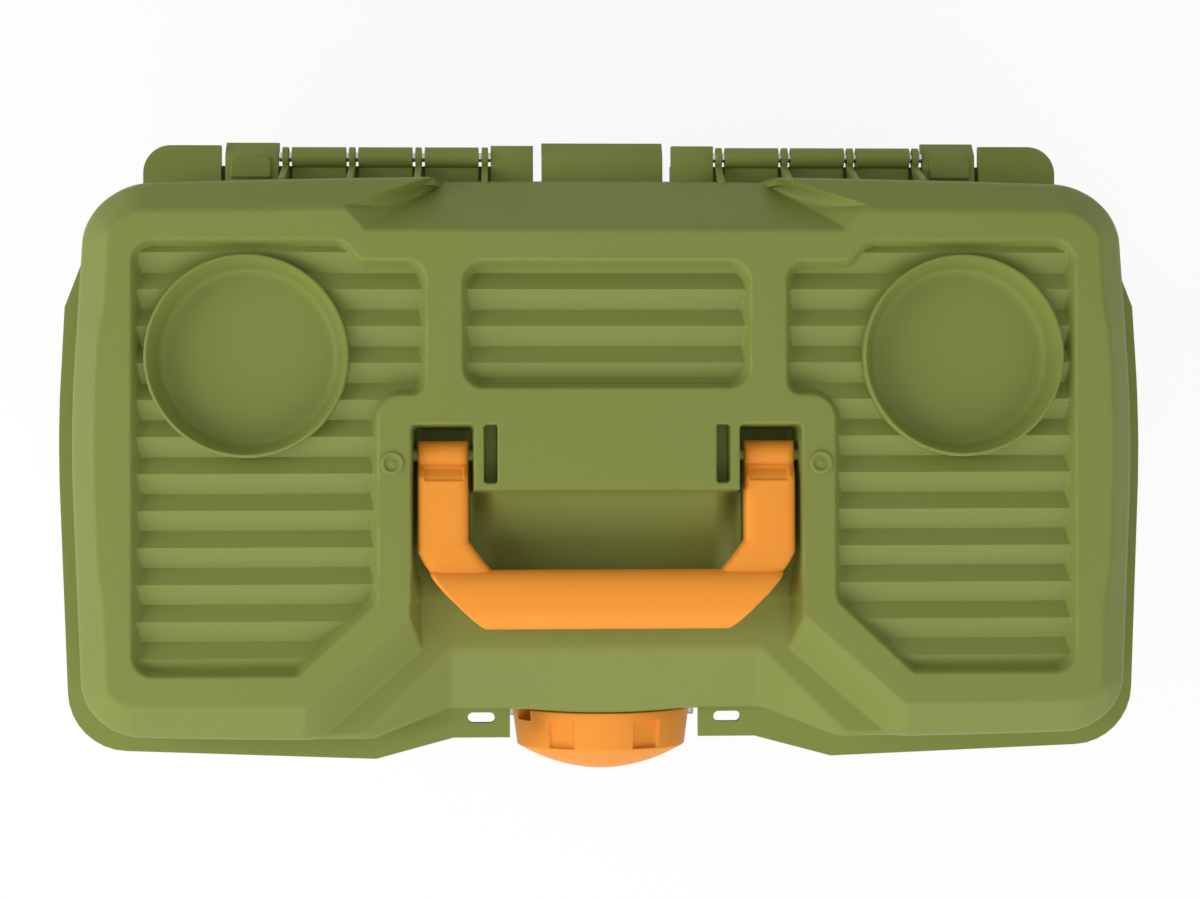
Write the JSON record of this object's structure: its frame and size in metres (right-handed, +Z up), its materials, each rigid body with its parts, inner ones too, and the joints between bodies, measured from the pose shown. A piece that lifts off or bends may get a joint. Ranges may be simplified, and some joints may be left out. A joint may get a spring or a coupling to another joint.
{
  "type": "fishing tackle cabinet",
  "caption": "Moulded tackle cabinet with a hinged lid, a swing handle, cup wells, a round dial latch and a stack of sliding drawers under a top bay.",
  "frame": {"origin": "centre of the bounding box, at the plane of the base", "axes": "+Z up, -Y towards the dial and the drawer fronts, +X to the right seen from the front"},
  "size_m": [0.4684, 0.2764, 0.326],
  "materials": {
    "olive_body": "satin moulded",
    "olive_lid": "satin moulded",
    "orange_handle": "fine grain moulded",
    "orange_dial": "satin moulded",
    "clear_drawer": "clear, slightly frosted",
    "steel": "bright zinc"
  },
  "bodies": {
    "cabinet": {"body_shell": "olive_body", "runner_frame_left": "olive_body", "runner_frame_right": "olive_body", "bay_divider_left": "olive_body", "bay_divider_right": "olive_body", "hinge_rod_left": "steel", "hinge_rod_right": "steel"},
    "lid": {"lid": "olive_lid", "handle_pin_left": "olive_lid", "handle_pin_right": "olive_lid", "latch_strike": "steel"},
    "handle": {"handle": "orange_handle"},
    "dial": {"dial_knob": "orange_dial", "latch_spindle": "steel", "latch_cam": "steel", "cam_washer": "steel", "cam_screw": "steel"},
    "drawer_1": {"drawer_1": "clear_drawer", "drawer_1_dividers": "clear_drawer"},
    "drawer_2": {"drawer_2": "clear_drawer", "drawer_2_dividers": "clear_drawer"},
    "drawer_3": {"drawer_3": "clear_drawer", "drawer_3_dividers": "clear_drawer"},
    "drawer_4": {"drawer_4": "clear_drawer", "drawer_4_dividers": "clear_drawer"}
  },
  "joints": [
    {"name": "lid_hinge", "type": "hinge", "parent": "cabinet", "child": "lid", "pos_m": [0, 0.1314, 0.276], "axis": [-1, 0, 0], "range_deg": [0, 105]},
    {"name": "handle_swing", "type": "hinge", "parent": "lid", "child": "handle", "pos_m": [0, 0.0013, 0.312], "axis": [-1, 0, 0], "range_deg": [0, 90]},
    {"name": "dial_turn", "type": "hinge", "parent": "cabinet", "child": "dial", "pos_m": [0, -0.1105, 0.2437], "axis": [0, 1, 0], "range_deg": [0, 90]},
    {"name": "drawer_1_slide", "type": "slide", "parent": "cabinet", "child": "drawer_1", "axis": [0, -1, 0], "range_m": [0, 0.15]},
    {"name": "drawer_2_slide", "type": "slide", "parent": "cabinet", "child": "drawer_2", "axis": [0, -1, 0], "range_m": [0, 0.15]},
    {"name": "drawer_3_slide", "type": "slide", "parent": "cabinet", "child": "drawer_3", "axis": [0, -1, 0], "range_m": [0, 0.15]},
    {"name": "drawer_4_slide", "type": "slide", "parent": "cabinet", "child": "drawer_4", "axis": [0, -1, 0], "range_m": [0, 0.15]}
  ]
}
